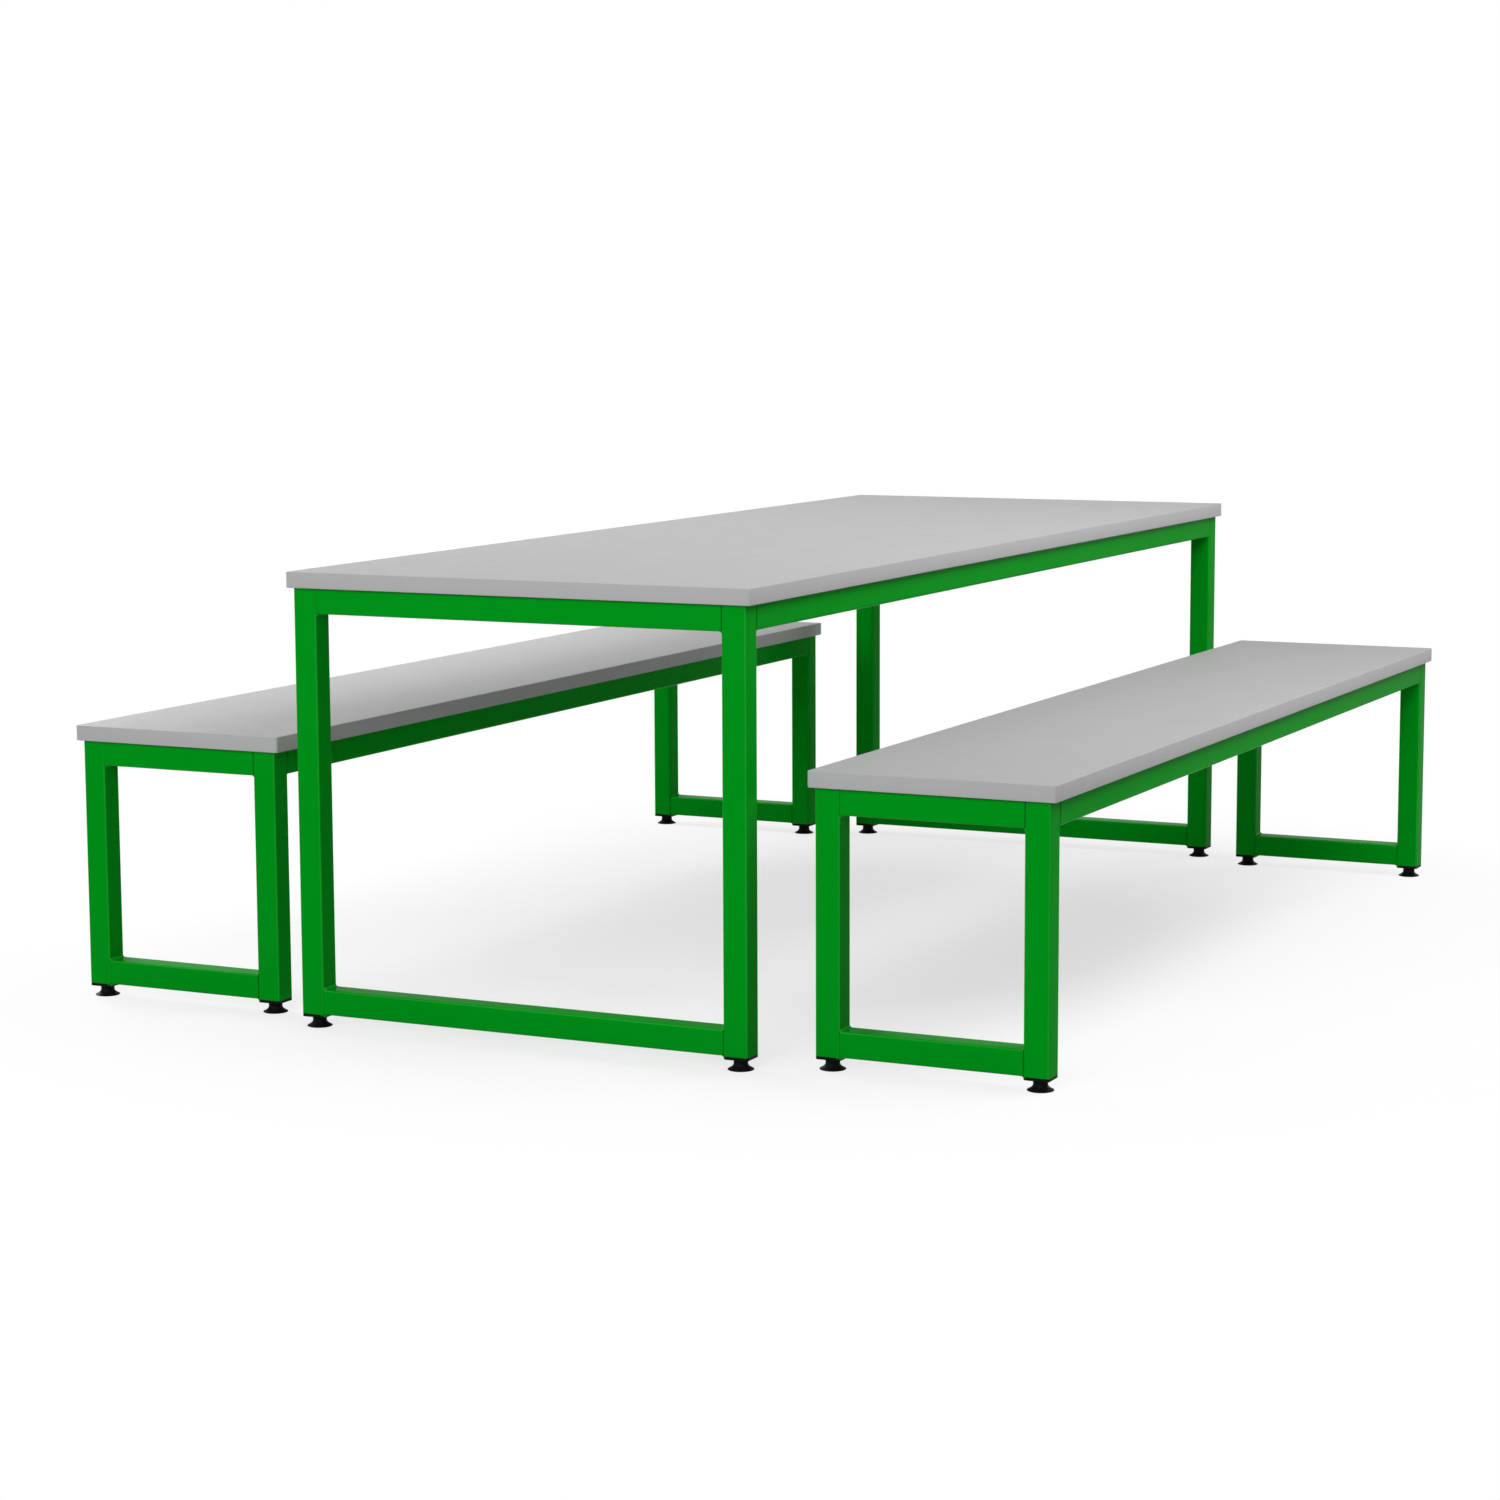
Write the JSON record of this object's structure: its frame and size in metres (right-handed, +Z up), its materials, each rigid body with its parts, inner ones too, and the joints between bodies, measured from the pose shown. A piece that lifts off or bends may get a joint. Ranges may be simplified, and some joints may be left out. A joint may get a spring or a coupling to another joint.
{
  "type": "cafeteria table with benches",
  "caption": "Canteen table with free-standing benches: laminate boards on welded square-tube end frames with side rails and levelling feet; the benches push in under the table.",
  "frame": {"origin": "on the floor, midway between the four table legs and between the benches", "axes": "+X along the table towards its far end, +Y across it towards the left bench, +Z up"},
  "size_m": [2.2, 1.706, 0.72],
  "materials": {
    "green_frame": "gloss powder coat, bright green",
    "laminate": "light grey melamine-faced chipboard, matt",
    "edging": "light grey plastic edging, satin",
    "black_plastic": "moulded black nylon",
    "zinc_steel": "bright zinc plate"
  },
  "bodies": {
    "table": {"table_top_board": "laminate", "table_top_edging": "edging", "table_leg_near_right": "green_frame", "table_leg_near_left": "green_frame", "table_near_top_rail": "green_frame", "table_near_bottom_rail": "green_frame", "table_leg_far_right": "green_frame", "table_leg_far_left": "green_frame", "table_far_top_rail": "green_frame", "table_far_bottom_rail": "green_frame", "table_right_side_rail": "green_frame", "table_left_side_rail": "green_frame", "table_board_screws": "zinc_steel", "table_leg_inserts": "black_plastic"},
    "table_foot_near_right": {"table_foot_near_right": "black_plastic"},
    "table_foot_near_left": {"table_foot_near_left": "black_plastic"},
    "table_foot_far_right": {"table_foot_far_right": "black_plastic"},
    "table_foot_far_left": {"table_foot_far_left": "black_plastic"},
    "right_bench": {"right_bench_seat_board": "laminate", "right_bench_seat_edging": "edging", "right_bench_leg_near_right": "green_frame", "right_bench_leg_near_left": "green_frame", "right_bench_near_top_rail": "green_frame", "right_bench_near_bottom_rail": "green_frame", "right_bench_leg_far_right": "green_frame", "right_bench_leg_far_left": "green_frame", "right_bench_far_top_rail": "green_frame", "right_bench_far_bottom_rail": "green_frame", "right_bench_right_side_rail": "green_frame", "right_bench_left_side_rail": "green_frame", "right_bench_board_screws": "zinc_steel", "right_bench_leg_inserts": "black_plastic"},
    "right_bench_foot_near_right": {"right_bench_foot_near_right": "black_plastic"},
    "right_bench_foot_near_left": {"right_bench_foot_near_left": "black_plastic"},
    "right_bench_foot_far_right": {"right_bench_foot_far_right": "black_plastic"},
    "right_bench_foot_far_left": {"right_bench_foot_far_left": "black_plastic"},
    "left_bench": {"left_bench_seat_board": "laminate", "left_bench_seat_edging": "edging", "left_bench_leg_near_right": "green_frame", "left_bench_leg_near_left": "green_frame", "left_bench_near_top_rail": "green_frame", "left_bench_near_bottom_rail": "green_frame", "left_bench_leg_far_right": "green_frame", "left_bench_leg_far_left": "green_frame", "left_bench_far_top_rail": "green_frame", "left_bench_far_bottom_rail": "green_frame", "left_bench_right_side_rail": "green_frame", "left_bench_left_side_rail": "green_frame", "left_bench_board_screws": "zinc_steel", "left_bench_leg_inserts": "black_plastic"},
    "left_bench_foot_near_right": {"left_bench_foot_near_right": "black_plastic"},
    "left_bench_foot_near_left": {"left_bench_foot_near_left": "black_plastic"},
    "left_bench_foot_far_right": {"left_bench_foot_far_right": "black_plastic"},
    "left_bench_foot_far_left": {"left_bench_foot_far_left": "black_plastic"}
  },
  "joints": [
    {"name": "table_foot_near_right_screw", "type": "slide", "parent": "table", "child": "table_foot_near_right", "axis": [0, 0, -1], "range_m": [0, 0.015]},
    {"name": "table_foot_near_left_screw", "type": "slide", "parent": "table", "child": "table_foot_near_left", "axis": [0, 0, -1], "range_m": [0, 0.015]},
    {"name": "table_foot_far_right_screw", "type": "slide", "parent": "table", "child": "table_foot_far_right", "axis": [0, 0, -1], "range_m": [0, 0.015]},
    {"name": "table_foot_far_left_screw", "type": "slide", "parent": "table", "child": "table_foot_far_left", "axis": [0, 0, -1], "range_m": [0, 0.015]},
    {"name": "right_bench_foot_near_right_screw", "type": "slide", "parent": "right_bench", "child": "right_bench_foot_near_right", "axis": [0, 0, -1], "range_m": [0, 0.015]},
    {"name": "right_bench_foot_near_left_screw", "type": "slide", "parent": "right_bench", "child": "right_bench_foot_near_left", "axis": [0, 0, -1], "range_m": [0, 0.015]},
    {"name": "right_bench_foot_far_right_screw", "type": "slide", "parent": "right_bench", "child": "right_bench_foot_far_right", "axis": [0, 0, -1], "range_m": [0, 0.015]},
    {"name": "right_bench_foot_far_left_screw", "type": "slide", "parent": "right_bench", "child": "right_bench_foot_far_left", "axis": [0, 0, -1], "range_m": [0, 0.015]},
    {"name": "left_bench_foot_near_right_screw", "type": "slide", "parent": "left_bench", "child": "left_bench_foot_near_right", "axis": [0, 0, -1], "range_m": [0, 0.015]},
    {"name": "left_bench_foot_near_left_screw", "type": "slide", "parent": "left_bench", "child": "left_bench_foot_near_left", "axis": [0, 0, -1], "range_m": [0, 0.015]},
    {"name": "left_bench_foot_far_right_screw", "type": "slide", "parent": "left_bench", "child": "left_bench_foot_far_right", "axis": [0, 0, -1], "range_m": [0, 0.015]},
    {"name": "left_bench_foot_far_left_screw", "type": "slide", "parent": "left_bench", "child": "left_bench_foot_far_left", "axis": [0, 0, -1], "range_m": [0, 0.015]},
    {"name": "right_bench_slide", "type": "slide", "parent": "table", "child": "right_bench", "axis": [0, 1, 0], "range_m": [-0.3, 0.455]},
    {"name": "left_bench_slide", "type": "slide", "parent": "table", "child": "left_bench", "axis": [0, -1, 0], "range_m": [-0.3, 0.455]}
  ]
}
